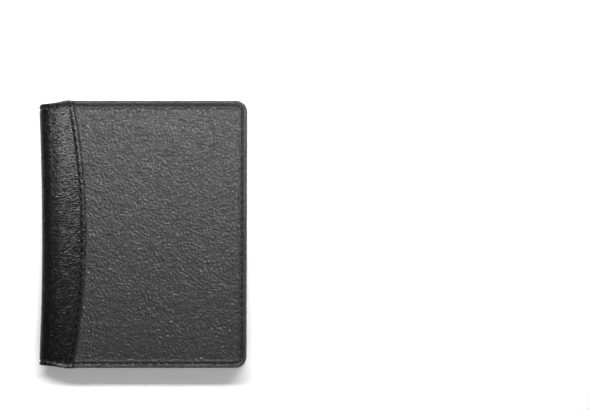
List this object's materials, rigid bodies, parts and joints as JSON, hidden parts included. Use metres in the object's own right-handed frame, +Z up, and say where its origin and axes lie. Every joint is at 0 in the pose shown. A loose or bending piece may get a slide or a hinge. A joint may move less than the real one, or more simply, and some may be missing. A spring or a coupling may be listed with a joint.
{
  "type": "card holder",
  "caption": "Slim folding leather card holder: two stiffened covers joined by a wrapped spine, with stepped card pockets on both inner sides.",
  "frame": {"origin": "centre of the closed holder's footprint, on the surface it lies on", "axes": "+X from the spine to the opening side, +Y along the spine, +Z up from the back cover to the front cover"},
  "size_m": [0.078, 0.1, 0.009],
  "materials": {
    "grained_leather": "semi-matt black, pebble grain",
    "spine_leather": "semi-matt black, finer grain",
    "pocket_leather": "semi-matt black, fine grain",
    "smooth_leather": "darker smooth leather with fine lengthwise lines",
    "lining_leather": "soft thin leather with lengthwise wrinkles",
    "lining_fabric": "fine woven lining",
    "stiffener_board": "grey board",
    "thread": "waxed black thread"
  },
  "bodies": {
    "back": {"back_cover": "grained_leather", "back_board": "stiffener_board", "back_lining": "lining_fabric", "back_pocket_1": "pocket_leather", "back_pocket_2": "smooth_leather", "back_pocket_3": "pocket_leather", "back_pocket_2_bag": "lining_fabric", "back_pocket_3_bag": "lining_fabric", "back_edge_stitching": "thread", "back_seam_stitching": "thread", "spine_wrap_back": "spine_leather", "spine_lining_back": "lining_leather"},
    "spine": {"spine_wrap_middle": "spine_leather", "spine_core": "stiffener_board", "spine_lining_middle": "lining_leather", "spine_edge_stitching": "thread"},
    "front": {"front_cover": "grained_leather", "front_board": "stiffener_board", "front_lining": "lining_fabric", "front_pocket_1": "pocket_leather", "front_pocket_2": "pocket_leather", "front_pocket_3": "pocket_leather", "front_pocket_2_bag": "lining_fabric", "front_pocket_3_bag": "lining_fabric", "front_edge_stitching": "thread", "front_seam_stitching": "thread", "spine_wrap_front": "spine_leather", "spine_lining_front": "lining_leather"}
  },
  "joints": [
    {"name": "spine_fold", "type": "hinge", "parent": "back", "child": "spine", "pos_m": [-0.03803, 0, 0.00097], "axis": [0, -1, 0], "range_deg": [0, 90]},
    {"name": "cover_fold", "type": "hinge", "parent": "spine", "child": "front", "pos_m": [-0.03803, 0, 0.00803], "axis": [0, -1, 0], "range_deg": [0, 90]}
  ],
  "couplings": [
    {"joint": "cover_fold", "follows": "spine_fold", "ratio": 1}
  ]
}
